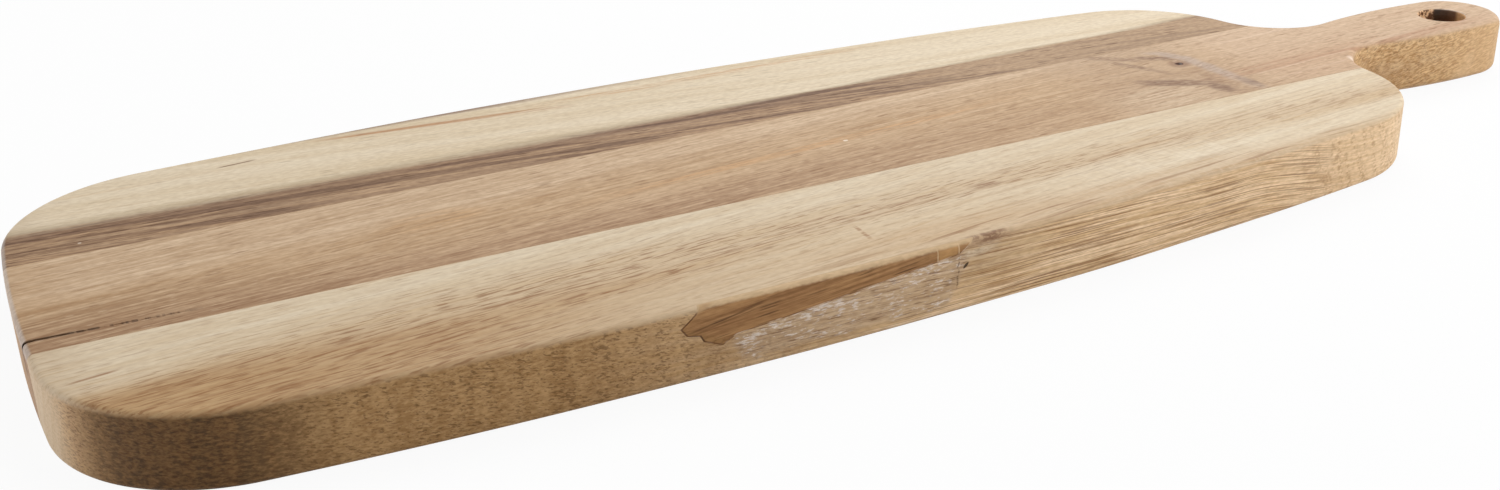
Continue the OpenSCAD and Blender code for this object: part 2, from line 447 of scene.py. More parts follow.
carve(centre_stave, hole_cutter())
for run in CRACK_RUNS:
    short = run[-1][0] - run[0][0] < SHORT_CRACK_LEN
    carve(centre_stave, crack_cutter(run, SHORT_CRACK_DEPTH if short else CRACK_DEPTH))
carve(centre_stave, knot_pit_cutter())
carve(near_stave, pocket_prism("pocket_cutter", pocket_outline(), PATCH_DEPTH))
carve(edge_patch, pocket_prism("patch_shape", patch_outline(), PATCH_DEPTH - PATCH_GLUE_T), "INTERSECT")
carve(patch_glue, pocket_prism("pocket_shape", pocket_outline(), PATCH_DEPTH), "INTERSECT")
carve(patch_glue, pocket_prism("patch_cutter", patch_outline(), PATCH_DEPTH - PATCH_GLUE_T))
carve(patch_glue, blunt_end_gap())

PIECES = {
    "far_stave": (far_stave, "far_stave_wood"),
    "far_glue_line": (far_glue_line, "wood_glue"),
    "centre_stave": (centre_stave, "centre_stave_wood"),
    "near_glue_line": (near_glue_line, "wood_glue"),
    "near_stave": (near_stave, "near_stave_wood"),
    "edge_patch": (edge_patch, "patch_wood"),
    "patch_glue": (patch_glue, "patch_filler"),
}
for node, (piece, slot) in PIECES.items():
    smooth(piece)
    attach(piece, "root")
    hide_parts(node)


def paint(red, green, blue):
    """A colour by its screen levels, from 0 to 255, as the linear values that shaders take."""
    linear = []
    for level in (red, green, blue):
        share = level / 255
        linear.append(share / 12.92 if share <= 0.04045 else ((share + 0.055) / 1.055) ** 2.4)
    return (*linear, 1.0)


def both_ways(operation):
    """An operator and its reflected form, as methods that add a Math node."""
    def on_the_left(self, other):
        return self.nodes.sum(operation, self, other)

    def on_the_right(self, other):
        return self.nodes.sum(operation, other, self)

    return on_the_left, on_the_right


class Varying:
    """Something that varies over a surface: a shader socket that can be reckoned with."""

    def __init__(self, nodes, socket):
        self.nodes = nodes
        self.socket = socket

    def other(self, output):
        return Varying(self.nodes, self.socket.node.outputs[output])

    __add__, __radd__ = both_ways("ADD")
    __sub__, __rsub__ = both_ways("SUBTRACT")
    __mul__, __rmul__ = both_ways("MULTIPLY")
    __truediv__, __rtruediv__ = both_ways("DIVIDE")
    __pow__, __rpow__ = both_ways("POWER")

    def __neg__(self):
        return self.nodes.sum("MULTIPLY", self, -1.0)

    def __abs__(self):
        return self.nodes.sum("ABSOLUTE", self)


class Nodes:
    """The nodes of a material or of the world, and the ways to add to them."""

    def __init__(self, owner):
        owner.use_nodes = True
        self.tree = owner.node_tree

    def node(self, kind, settings, sockets, output=0):
        """A node with its settings made first, then its sockets filled or linked."""
        made = self.tree.nodes.new(kind)
        for name, value in settings.items():
            setattr(made, name, value)
        for name, value in sockets.items():
            self.feed(made.inputs[name], value)
        return Varying(self, made.outputs[output])

    def feed(self, socket, value):
        if isinstance(value, Varying):
            self.tree.links.new(value.socket, socket)
        else:
            socket.default_value = value

    def sum(self, operation, *terms):
        return self.node("ShaderNodeMath", {"operation": operation}, dict(enumerate(terms)))

    def most(self, *terms):
        return self.sum("MAXIMUM", *terms)

    def rise(self, amount, low, high):
        """Goes smoothly from 0 at low to 1 at high, or from 1 to 0 where low is the greater."""
        return self.node("ShaderNodeMapRange", {"interpolation_type": "SMOOTHSTEP"},
                         {"Value": amount, "From Min": low, "From Max": high})

    def between(self, amount, low, high, soft):
        """1 between low and high, falling to 0 outside them over a soft width."""
        middle = (low + high) / 2
        reach = (high - low) / 2
        return self.rise(abs(amount - middle), reach + soft, reach - soft)

    def blend(self, first, second, share, kind="MIX"):
        """A colour that goes from first to second as share goes from 0 to 1."""
        return self.node("ShaderNodeMix", {"data_type": "RGBA", "blend_type": kind},
                         {0: share, 6: first, 7: second}, 2)

    def coats(self, colour, coats):
        """A colour under a row of coats: each has a shade, the share of it that covers what is
        below and, where it isn't a plain mix, the kind of blend."""
        for shade, share, *kind in coats:
            if not isinstance(shade, Varying):
                shade = paint(*shade)
            colour = self.blend(colour, shade, share, *kind)
        return colour

    def vector(self, x, y, z):
        return self.node("ShaderNodeCombineXYZ", {}, {0: x, 1: y, 2: z})

    def parts(self, vector):
        split = self.node("ShaderNodeSeparateXYZ", {}, {0: vector})
        return split, split.other(1), split.other(2)

    def steps(self, vector, sizes, shift=(0.0, 0.0, 0.0)):
        """A place counted in steps of these sizes, then shifted."""
        by = tuple(1 / size for size in sizes)
        return self.node("ShaderNodeVectorMath", {"operation": "MULTIPLY_ADD"}, {0: vector, 1: by, 2: shift})

    def noise(self, vector, detail=2.0, roughness=0.5):
        return self.node("ShaderNodeTexNoise", {"noise_dimensions": "3D"},
                         {"Vector": vector, "Scale": 1.0, "Detail": detail, "Roughness": roughness})

    def bump(self, height, strength, depth):
        return self.node("ShaderNodeBump", {},
                         {"Strength": strength, "Distance": depth * MM, "Height": height})


class Finish(Nodes):
    """One material, which starts from the plain surface shader."""

    def __init__(self, name):
        self.material = bpy.data.materials.new(name)
        super().__init__(self.material)
        self.shader = self.tree.nodes["Principled BSDF"]

    def surface(self, sockets):
        """Fills or links sockets of the surface shader."""
        for name, value in sockets.items():
            self.feed(self.shader.inputs[name], value)


class Wood(Finish):
    """Solid wood, known by its place in the board: millimetres from the blade's end, from the
    long axis and above the underside. Growth layers lie round a pith that runs beside the stave."""

    def __init__(self, name, slope, pith, seed, bend=None):
        super().__init__(name)
        self.seed = seed
        place = self.node("ShaderNodeTexCoord", {}, {}, "Object")
        self.place = self.steps(place, (MM, MM, MM), (LENGTH / 2, 0.0, 0.0))
        self.x, self.y, self.z = self.parts(self.place)
        self.depth = THICKNESS - self.z
        normal = self.node("ShaderNodeTexCoord", {}, {}, "Normal")
        self.to_tip, self.to_far, _ = self.parts(normal)
        self.top = self.rise(self.depth, 1.6, 0.5)
        self.end = self.rise(abs(self.to_tip), 0.55, 0.9)
        # Where to paint a highlight on the round-over at the blade's end
        self.end_arris_highlight = self.rise(-self.to_tip, 0.15, 0.6) * self.rise(self.depth, 2.5, 1.4)
        self.by_end = self.rise(self.x, 16, 3)
        slow = self.cloud((170, 42, 42), (seed, seed, 0.0), 1.0)
        quick = self.cloud((34, 7, 7), (0.0, seed, seed), 1.0)
        across = self.y - slope * (self.x - 180) + 9 * (slow - 0.5) + 1.8 * (quick - 0.5)
        if bend is not None:
            across = across + bend(self)
        self.ring = ((across - pith[0]) ** 2 + (self.z - pith[1]) ** 2) ** 0.5
        self.grain = self.vector(self.x, across, self.z)
        self.layers = self.vector(self.x, self.ring, seed)

    def cloud(self, sizes, shift=(0.0, 0.0, 0.0), detail=2.0, roughness=0.5):
        """Noise in patches of these sizes along, across and up the board."""
        return self.noise(self.steps(self.place, sizes, shift), detail, roughness)

    def streak(self, length, width, seed, detail=2.0, roughness=0.5):
        """Tone of the growth layers: about even along a length, changing over a width."""
        place = self.steps(self.layers, (length, width, 1.0), (seed, seed, seed))
        return self.noise(place, detail, roughness)

    def fibre(self, length, width, seed, detail=2.0):
        """Tone of the fibres, which are fine both ways across the grain."""
        place = self.steps(self.grain, (length, width, width), (seed, seed, seed))
        return self.noise(place, detail)

    def tones(self, broad, line_length, hair_length):
        """The tone of a stave at four scales: broad bands, lines, hairs and fibres."""
        lines = self.streak(line_length, 2.0, 2.0, 3.0)
        hairs = self.streak(hair_length, 0.9, 3.0, 3.0, 0.65)
        return self.streak(*broad, 1.0), lines, hairs, self.fibre(7, 0.8, 4.0, 3.0)

    def cells(self, vector, share, fill):
        """Small separate marks, one in each chosen cell of space, some fainter than others."""
        found = self.node("ShaderNodeTexVoronoi", {"voronoi_dimensions": "3D", "feature": "F1"},
                          {"Vector": vector, "Scale": 1.0, "Randomness": 1.0})
        luck, ink, _ = self.parts(found.other("Color"))
        chosen = self.rise(share - luck, -0.02, 0.02)
        return chosen * self.rise(found, fill, 0.6 * fill) * (0.45 + 0.55 * ink)

    def pores(self, length, width, share, seed, fill=0.36):
        """Vessels cut open: dashes along the grain, and dots on the end grain."""
        place = self.steps(self.grain, (length, width, width), (seed, seed, seed))
        return self.cells(place, share, fill)

    def dashes(self, length, width, seed, low, high):
        """Fine broken lines along the grain."""
        return self.rise(self.fibre(length, width, seed), low, high)

    def napped(self, colour, share):
        """The colour with the fine darker and lighter specks of a sanded cut."""
        nap = self.cloud((2.2, 0.9, 0.5), (self.seed, 0.0, 0.0), 1.0)
        stray = share * (2 * self.rise(nap, 0.3, 0.7) - 1)
        tint = self.vector(1 + 0.85 * stray, 1 + stray, 1 + 1.15 * stray)
        return self.blend(colour, tint, 1.0, "MULTIPLY")

    def mark(self, start, end, half_width, soft=2.5):
        """A mark on the top face along a line from start to end."""
        lean = (end[1] - start[1]) / (end[0] - start[0])
        off = abs(self.y - lean * (self.x - start[0]) - start[1])
        along = self.between(self.x, start[0], end[0], soft)
        return self.rise(off, half_width, 0.35 * half_width) * along * self.top

    def spot(self, middle, reach, soft=0.5):
        """A round or oval spot, seen on the top face."""
        way = ((self.x - middle[0]) / reach[0]) ** 2 + ((self.y - middle[1]) / reach[1]) ** 2
        return self.rise(way, 1.0, 1.0 - soft) * self.top

    def finish(self, colour, roughness, height, strength, depth):
        bump = self.bump(height, strength, depth)
        self.surface({"Base Color": colour, "Roughness": roughness, "Normal": bump,
                      "Specular IOR Level": 0.2})
        return self.material

    def sanded(self, colour, fibre, pores, height):
        """The finish of a sanded face, rougher in its fibres and its open pores."""
        return self.finish(colour, 0.52 + 0.12 * fibre + 0.15 * pores, height, 0.35, 0.12)


def far_stave_wood():
    """Cream sapwood, with purple-brown heartwood along the glue line."""
    wood = Wood("far_stave_wood", -0.085, (-70, -34), 2.0)
    rise, between = wood.rise, wood.between
    x, y, depth = wood.x, wood.y, wood.depth
    broad, lines, hairs, fibre = wood.tones((240, 6), 80, 24)
    edge = 37.6 + 4 * ((x - 200) / 195) ** 2
    inside = edge + 0.36 * depth - y + 4 * (lines - 0.5)
    soft = 2.4 - 1.5 * rise(x, 120, 240)
    heart = rise(inside, -soft, soft)

    sap = wood.blend(paint(229, 212, 185), paint(219, 199, 168), rise(broad, 0.4, 0.7))
    orange = wood.mark((150, 67.5), (245, 67), 2.4, 20)
    rim = rise(y + 0.25 * depth + 3 * (lines - 0.5), 71.5, 74.5) * rise(x, 215, 120)
    sap = wood.coats(sap, [
        ((206, 176, 136), 0.35 * rise(lines, 0.54, 0.74)),
        ((198, 170, 134), 0.4 * rise(hairs, 0.56, 0.72)),
        ((240, 226, 202), 0.4 * rise(fibre, 0.5, 0.75)),
        ((184, 132, 92), 0.75 * wood.mark((88, 70.5), (152, 63.5), 1.5, 8) * rise(lines, 0.35, 0.55)),
        ((200, 150, 98), 0.6 * orange * rise(hairs, 0.42, 0.6)),
        ((132, 96, 72), 0.75 * wood.mark((57, 63.5), (66, 64.5), 0.6, 1.5)),
        ((138, 108, 92), 0.85 * rim),
        ((150, 122, 94), 0.22 * wood.by_end * rise(y, 68, 60)),
    ])

    tone = 0.3 * broad + 0.5 * lines + 1.1 * hairs + 0.5 * fibre
    core = wood.blend(paint(102, 72, 54), paint(190, 156, 122), rise(tone, 0.85, 1.5))
    bars = wood.streak(75, 3.6, 6.0, 2.0)
    dark_edge = between(inside, 0.5, 5, 2.2) * rise(x, 260, 190)
    fringe = rise(inside, -2.2 * soft, 0) * (1 - heart)
    colour = wood.blend(sap, paint(176, 156, 126), 0.7 * fringe)
    core = wood.coats(core, [
        ((197, 167, 134), 0.55 * rise(x, 200, 310)),
        ((98, 70, 56), 0.55 * rise(bars, 0.5, 0.62)),
        ((190, 160, 130), 0.4 * rise(bars, 0.47, 0.36)),
        ((190, 158, 126), 0.5 * wood.spot((102, 24.5), (44, 5.5), 0.9)),
        ((181, 151, 121), 0.5 * rise(x, 250, 310)),
        ((108, 80, 68), 0.42 * dark_edge * rise(hairs, 0.3, 0.6)),
    ])
    pores = wood.pores(8, 1.2, 0.2 + 0.4 * heart, 5.0)
    colour = wood.coats(colour, [
        (core, heart),
        ((88, 58, 42), (0.2 + 0.35 * heart) * pores),
        ((240, 224, 206), 0.6 * wood.spot((18, 29), (0.5, 0.45))),
    ])
    colour = wood.napped(colour, 0.07 + 0.05 * heart)
    height = 0.6 * fibre + 0.4 * hairs - 0.8 * pores
    colour = wood.coats(colour, [
        ((176, 140, 104), 0.35 * wood.end, "MULTIPLY"),
        # painted pale grey highlight on the round-over at the blade's end
        ((208, 200, 194), 0.42 * heart * wood.end_arris_highlight),
    ])
    return wood.sanded(colour, fibre, pores, height)


def centre_stave_wood():
    """Tan wood, browner towards the near glue line, with a pin knot and a drying crack."""
    def round_the_knot(wood):
        way = ((wood.x - KNOT[0]) / 15) ** 2 + ((wood.y - KNOT[1]) / 10) ** 2
        return -0.75 * (wood.y - KNOT[1]) * math.e ** (-way)

    wood = Wood("centre_stave_wood", 0.085, (90, -46), 7.0, round_the_knot)
    rise, between = wood.rise, wood.between
    x, y, z, depth = wood.x, wood.y, wood.z, wood.depth
    broad, lines, hairs, fibre = wood.tones((260, 6), 90, 26)
    tone = rise(0.3 * broad + 0.4 * lines + 0.9 * hairs + 0.5 * fibre, 0.72, 1.38)
    pale = wood.blend(paint(188, 156, 122), paint(222, 195, 164), tone)
    tan = wood.blend(paint(178, 142, 104), paint(212, 182, 148), tone)
    brown = wood.blend(paint(158, 122, 90), paint(202, 170, 137), tone)
    drift = y - 0.05 * (x - 180) + 8 * (broad - 0.5)
    colour = wood.blend(pale, tan, rise(drift, 14, 2))
    near = rise(drift, -3, -20) * (1 - 0.65 * rise(x, 130, 260))
    corner = rise(x, 90, 15) * rise(y, 0, -16)
    knotty = rise(x, 275, 300)
    lit = between(x, 288, 318, 12) * rise(y, -6, -15)
    pink = rise(x, 325, 355)
    gold = wood.mark((140, -7.5), (255, 2.5), 2.4, 24)
    tawny = between(x, 345, 392, 10) * rise(y, 2, -9) * wood.top
    rose = wood.mark((328, -13), (436, -9), 4.4, 16)
    colour = wood.coats(colour, [
        (brown, near),
        ((150, 114, 84), 0.6 * corner * rise(hairs, 0.7, 0.4)),
        ((190, 162, 136), 0.3 * knotty * rise(x, 345, 325)),
        ((146, 112, 86), 0.4 * knotty * rise(x, 340, 320) * rise(hairs, 0.52, 0.68)),
        ((228, 206, 176), 0.55 * lit * rise(hairs, 0.6, 0.42)),
        ((217, 189, 161), 0.62 * pink),
        ((184, 146, 118), 0.4 * pink * rise(lines, 0.52, 0.68)),
        ((232, 206, 182), 0.4 * pink * rise(lines, 0.46, 0.32)),
        ((214, 166, 112), 0.35 * wood.spot((95, 0), (16, 7), 0.9) * rise(hairs, 0.4, 0.58)),
        ((206, 156, 104), 0.5 * gold * rise(hairs, 0.38, 0.58)),
        ((192, 152, 116), 0.28 * tawny),
        ((182, 138, 108), 0.55 * rose * rise(lines, 0.36, 0.58)),
    ])

    # Brown bruises and a pale grey arc where the grain bends round the knot
    cloud = wood.noise(wood.vector(x / 9, y / 5, 4.0), 3.0, 0.6)
    torn = wood.noise(wood.vector(x / 3, (y + 0.5 * x) / 0.9, 2.0), 2.0)
    inked = rise(torn + 0.7 * (cloud - 0.5), 0.38, 0.62)
    bruise = wood.most(0.7 * wood.mark((305, 22), (317, 12.5), 3.5, 4),
                       wood.mark((318, 13.5), (327, 8.5), 3.2, 3))
    bruise = wood.most(bruise, 0.7 * wood.mark((309, 13), (316, 0), 5, 3))
    bruise = wood.most(bruise, wood.mark((304, -5.5), (321, -15.5), 4.5, 4))
    bruise = wood.most(bruise, wood.spot((320.5, -19), (3.5, 7), 0.9))
    bruise = wood.most(bruise, wood.spot((331, -20), (2.6, 6.5), 0.9))
    bow = wood.most(y - 4, 0.0)
    beside = x - 330.2 + 0.035 * bow ** 2 + 3 * (cloud - 0.5)
    ash = rise(abs(beside), 3.8, 0.8) * rise(y, 20, 13) * rise(depth, 6, 0)
    ash = ash * (0.4 + 0.6 * rise(y, -20, -9))
    shade = between(beside, -9, -4, 2) * rise(y, -2, -10) * rise(depth, 6, 0)
    knot_way = ((x - KNOT[0]) / 1.7) ** 2 + ((y - KNOT[1]) / 1.5) ** 2
    colour = wood.coats(colour, [
        ((166, 138, 114), 0.6 * bruise),
        ((134, 102, 80), 0.85 * bruise * inked),
        ((142, 108, 84), 0.45 * shade * rise(torn, 0.4, 0.6)),
        ((190, 170, 156), 0.68 * ash * rise(torn, 0.1, 0.45)),
        ((142, 106, 84), 0.6 * rise(knot_way, 7, 1)),
        ((84, 54, 42), 0.95 * rise(knot_way, 1.0, 0.3)),
    ])

    pores = wood.pores(7, 1.2, 0.25 + 0.25 * near, 5.0)
    broken = wood.dashes(6, 0.9, 8.0, 0.54, 0.7)
    flecks = wood.pores(3.5, 0.9, 0.15, 9.0)
    colour = wood.coats(colour, [
        ((122, 84, 56), 0.4 * pores),
        ((138, 98, 66), (0.25 + 0.2 * near) * broken),
        ((236, 212, 182), 0.3 * flecks),
        ((244, 230, 212), 0.8 * wood.spot((207, -3), (0.8, 0.6))),
    ])

    # The sides of the handle, where the cut crosses the layers and they show as fine curls
    grip_side = rise(abs(wood.to_far), 0.55, 0.9) * rise(x, 366, 378)
    curl = wood.noise(wood.vector(x / 9, z / 6, 1.0), 2.0)
    layer = z - 0.22 * x + 2.2 * (curl - 0.5)
    curls = wood.noise(wood.vector(x / 2.2, layer / 0.6, 6.0), 3.0, 0.6)
    specked = rise(wood.noise(wood.vector(x / 1.2, y / 3, layer / 0.6), 2.0, 0.6), 0.54, 0.7)
    wavy = wood.blend(paint(172, 130, 80), paint(220, 184, 136), rise(curls, 0.36, 0.64))
    dark_end = rise(x, 428, 384) * rise(z, 17, 5)
    wavy = wood.coats(wavy, [
        ((132, 90, 46), 0.62 * dark_end * rise(curl, 0.3, 0.6)),
        ((228, 196, 154), 0.4 * rise(curl, 0.5, 0.7)),
        ((208, 171, 128), 0.6 * rise(x, 410, 440)),
        ((112, 74, 40), 0.65 * specked * rise(x, 446, 392)),
    ])
    # Painted highlights: a pale pink patch on the arris at the neck's concave corner and a pale streak along
    # the grip's near arris
    grip_arris_highlights = wood.most(wood.spot((374, -19), (4, 3.4), 0.9), 0.7 * wood.spot((400, -14.2), (6, 1.6), 0.9))
    colour = wood.coats(colour, [
        (wavy, 0.92 * grip_side),
        ((242, 222, 204), 0.85 * grip_arris_highlights),
        ((222, 196, 170), 0.3 * wood.end, "MULTIPLY"),
        ((170, 128, 82), 0.2 * wood.by_end * rise(y, -14, -4)),
        # painted pale grey highlight on the round-over at the blade's end
        ((208, 200, 194), 0.5 * wood.end_arris_highlight),
    ])

    # End grain scorched by the drill inside the hanging hole, with painted shade deep in its middle and
    # painted light on its left and right walls
    from_hole = ((x - HOLE_X - LENGTH / 2) ** 2 + y ** 2) ** 0.5
    bored = rise(from_hole, HOLE_R + 0.45, HOLE_R + 0.1)
    rough = wood.cloud((1.4, 1.4, 1.7), roughness=0.6)
    along_wall = (0.65 * (x - HOLE_X - LENGTH / 2) - 0.76 * y) / HOLE_R
    # the drill's scorch, darkest towards the middle of the wall as painted shade
    scorched_lit_and_shaded = wood.blend(paint(38, 17, 10), paint(110, 71, 38), rise(along_wall, -0.2, 0.7))
    pitted_and_lit = wood.blend(paint(92, 50, 26), paint(252, 207, 162), rise(rough, 0.42, 0.58))
    scorched_lit_and_shaded = wood.coats(scorched_lit_and_shaded, [
        ((104, 65, 40), 0.25 * rise(rough, 0.45, 0.65)),
        # pitted end grain on the left wall, brightened as painted light
        (pitted_and_lit, rise(along_wall, -0.28, -0.46)),
        # painted light on the right wall
        ((216, 168, 116), rise(along_wall, 0.54, 0.74)),
    ])
    colour = wood.blend(colour, scorched_lit_and_shaded, 0.9 * bored)

    # The drying crack: a dark stain along its lips, and painted shade down inside it, darker with depth
    way = CRACK_Y + 0.2 - 0.047 * x
    frayed = rise(wood.noise(wood.vector(x / 1.5, 0.5, 3.0)), 0.42, 0.56)
    frayed = wood.most(rise(x, 14, 8), frayed)
    crack_stain_and_shade = rise(abs(y - way), 0.9, 0.3) * rise(x, 42, 26) * rise(depth, 8, 6)
    crack_stain_and_shade = crack_stain_and_shade * frayed
    colour = wood.coats(colour, [
        ((50, 30, 22), 0.6 * crack_stain_and_shade),
        ((40, 24, 18), 0.9 * crack_stain_and_shade * rise(depth, 0.15, 0.6)),
    ])
    colour = wood.napped(colour, 0.08)
    height = 0.6 * fibre + 0.4 * hairs - 0.8 * pores - 0.6 * grip_side * specked + 0.5 * bored * rough
    return wood.sanded(colour, fibre, pores, height)


def near_stave_wood():
    """Cream wood with a brown band full of open pores, which runs out into the near edge."""
    wood = Wood("near_stave_wood", 0.11, (-150, -50), 11.0)
    rise, between = wood.rise, wood.between
    x, y, z, depth = wood.x, wood.y, wood.z, wood.depth
    broad, lines, hairs, fibre = wood.tones((220, 5), 80, 22)
    middle = -45 - 20 * math.e ** (x / -110)
    off = y - middle + 5 * (lines - 0.5) + 5 * (broad - 0.5)
    reach = 4.5 + 6 * rise(x, 200, 90)
    upper = rise(off, reach + 8, reach - 5)
    lower = rise(off, -reach - 4, 4 - reach)
    lower = wood.most(lower, rise(x, 130, 70))
    band = upper * lower

    tone = 0.5 * broad + 0.3 * lines + 0.2 * hairs
    cream = wood.blend(paint(226, 209, 182), paint(215, 193, 161), rise(tone, 0.38, 0.66))
    streaky = rise(0.4 * lines + 0.7 * hairs, 0.4, 0.72)
    brown = wood.blend(paint(181, 142, 98), paint(205, 172, 127), streaky)
    cream = wood.blend(cream, paint(198, 166, 126), 0.4 * rise(hairs, 0.54, 0.74))
    colour = wood.blend(cream, brown, band * (0.42 + 0.35 * rise(x, 90, 20)))
    low_left = rise(y, -50, -58) * rise(x, 175, 70)
    low_right = rise(y, -62, -72) * rise(x, 190, 270)
    comb = wood.noise(wood.vector((x + 0.15 * y) / 1.1, y / 16, 8.0), 1.0)
    combed = between(x, 240, 315, 25) * rise(y, -48, -54) * wood.top
    bar = rise(abs(x - 179.2 - 0.057 * (y + 58.4) + 1.2 * (hairs - 0.5)), 0.8, 0.2)
    bar = bar * between(y, -62.8, -54, 1.5) * wood.top
    colour = wood.coats(colour, [
        ((238, 222, 196), 0.35 * (1 - 0.75 * band) * rise(fibre, 0.5, 0.78)),
        ((170, 128, 86), low_left * (0.3 + 0.3 * rise(hairs, 0.6, 0.4))),
        ((194, 156, 106), 0.25 * rise(y, -50, -58) * rise(x, 290, 190)),
        ((180, 136, 92), 0.42 * low_right * rise(hairs, 0.46, 0.62)),
        ((240, 226, 204), 0.22 * combed * rise(comb, 0.5, 0.65)),
        ((152, 106, 72), 0.7 * wood.mark((7, -45), (16, -43.6), 0.6, 2)),
        ((164, 120, 84), 0.7 * bar * rise(fibre, 0.3, 0.55)),
        ((158, 124, 96), 0.75 * wood.spot((220.2, -48.6), (6, 2.6), 0.95) * rise(hairs, 0.35, 0.6)),
    ])

    # Open pores and fine creases on the top face, thickest in the brown band and along the arris
    low = rise(y, -50, -62)
    strip = rise(y, -59, -66) * rise(x, 130, 200)
    pores = wood.pores(4.5, 0.9, 0.22 + 0.3 * band + 0.15 * low, 5.0)
    dashes = wood.dashes(8, 0.7, 6.0, 0.56 - 0.05 * band, 0.7 - 0.05 * band)
    creases = rise(wood.streak(30, 1.1, 12.0, 1.0), 0.55, 0.68)
    front = rise(depth, 0.3, 1.6) * rise(-wood.to_far, 0.2, 0.5)
    above = 1 - front
    sparse = 1 - 0.5 * rise(x, 190, 260)
    thinned = 1 - 0.4 * rise(x, 235, 290)
    colour = wood.coats(colour, [
        ((194, 156, 114), 0.35 * strip),
        ((146, 100, 62), above * sparse * (0.22 + 0.25 * band) * pores),
        ((140, 94, 56), above * thinned * (0.3 + 0.35 * band) * dashes),
        ((150, 106, 68), above * (0.1 + 0.3 * band + 0.45 * strip) * creases),
    ])

    # The near edge: dense specks towards the blade's end, long fine veins towards the handle, and painted
    # light and painted shade at the corner by the blade's end
    left = rise(x, 185, 95)
    ripple = wood.noise(wood.vector(x / 45, y / 60, z / 12), 1.0)
    sweep = 6 * rise(x, 286, 334)
    layer = z + 0.0028 * (x - 230) * z + sweep + 1.4 * (ripple - 0.5)
    grit = wood.noise(wood.vector(x / 30, y / 60, layer / 0.9), 3.0, 0.6)
    mottle = wood.cloud((1.4, 1.4, 0.6), (5.0, 0.0, 0.0), roughness=0.6)
    blotch = wood.cloud((5, 5, 12), (2.0, 0.0, 0.0), 1.0)
    edge_right = wood.blend(paint(203, 169, 126), paint(233, 204, 168), rise(grit, 0.34, 0.66))
    mixed = rise(0.7 * mottle + 0.3 * blotch, 0.36, 0.64)
    edge_left = wood.blend(paint(153, 116, 73), paint(181, 144, 98), mixed)
    edge = wood.blend(edge_right, edge_left, left)
    # Painted shade on the rounded near corner at the blade's end: a dark, mottled copy of the edge's wood
    # from about 3 to 58 mm
    corner_painted_shade = rise(x, 3, 14) * rise(x, 58, 29)
    columns = wood.cloud((2.5, 2.5, 40), (3.0, 1.0, 0.0), 1.0)
    corner_shade_mottle = rise(0.72 * mottle + 0.28 * columns, 0.36, 0.64)
    dim = wood.blend(paint(60, 40, 20), paint(116, 82, 47), corner_shade_mottle)
    fading = wood.noise(wood.vector(x / 24, y / 60, layer / 2.6 + 7), 1.0)
    hairline = wood.noise(wood.vector(x / 42, y / 80, layer / 0.37), 1.0)
    veins = rise(hairline + 0.25 * (fading - 0.5), 0.55, 0.64)
    fine = wood.noise(wood.vector(x / 18, y / 80, layer / 0.34), 1.0)
    diagonal = z - 15.5 + 0.42 * (x - 293.5)
    knotted = between(diagonal, -1.2, 1.2, 1.2) * between(x, 286, 318, 5)
    veined = rise(x, 105, 185) * rise(x, 330, 304)
    vein_ink = veined * veins
    past_patch = rise(x, 190, 198) * rise(x, 228, 202) * rise(z, 5, 10)
    beside_patch = between(x, 198, 226, 8)
    slanted = wood.vector(x / 1.15, y / 1.15, (z + 0.2 * x) / 0.4)
    shoulder_end = rise(x, 298, 324)
    specks = rise(wood.noise(slanted, 2.0, 0.6) + 0.22 * (columns - 0.5), 0.53, 0.64)
    posts = wood.noise(wood.vector((x + 0.35 * z) / 1.9, y / 1.9, z / 20), 0.0)
    ends_of_pores = wood.noise(wood.vector(x / 1.1, y / 1.1, z / 0.8), 2.0)
    dotted = shoulder_end * rise(posts, 0.3, 0.75) * rise(ends_of_pores, 0.42, 0.66)
    speck_ink = rise(x, 185, 110) * specks
    under_blunt_end = between(x, 127, 139, 3) * between(z, 4, 10, 2.5)
    by_patch = rise(x, 127.5, 130) * rise(x, 202, 194) * rise(z, 15.0, 16.0)
    edge = wood.coats(edge, [
        # painted light where the edge turns to face the lamp at the blade's end
        ((206, 170, 130), 0.85 * rise(x, 11, 2)),
        ((226, 195, 156), 0.4 * rise(x, 262, 312)),
        ((240, 212, 176), 0.35 * between(x, 301, 320, 5)),
        # painted shade on the near corner
        (dim, 0.88 * corner_painted_shade),
        ((168, 127, 82), 0.42 * knotted * rise(grit, 0.66, 0.42)),
        ((138, 106, 62), 0.42 * past_patch),
        ((150, 108, 64), 0.6 * veined * rise(fine, 0.52, 0.66)),
        ((120, 78, 40), (0.55 + 0.15 * knotted + 0.25 * beside_patch) * vein_ink),
        ((86, 56, 28), 0.54 * speck_ink),
        ((156, 113, 70), 0.55 * dotted),
        ((116, 80, 44), 0.2 * under_blunt_end),
        ((148, 108, 70), 0.85 * by_patch),
    ])
    colour = wood.coats(colour, [
        (edge, front),
        ((200, 164, 126), 0.2 * wood.end * above, "MULTIPLY"),
        ((164, 128, 88), 0.24 * wood.by_end * above),
    ])

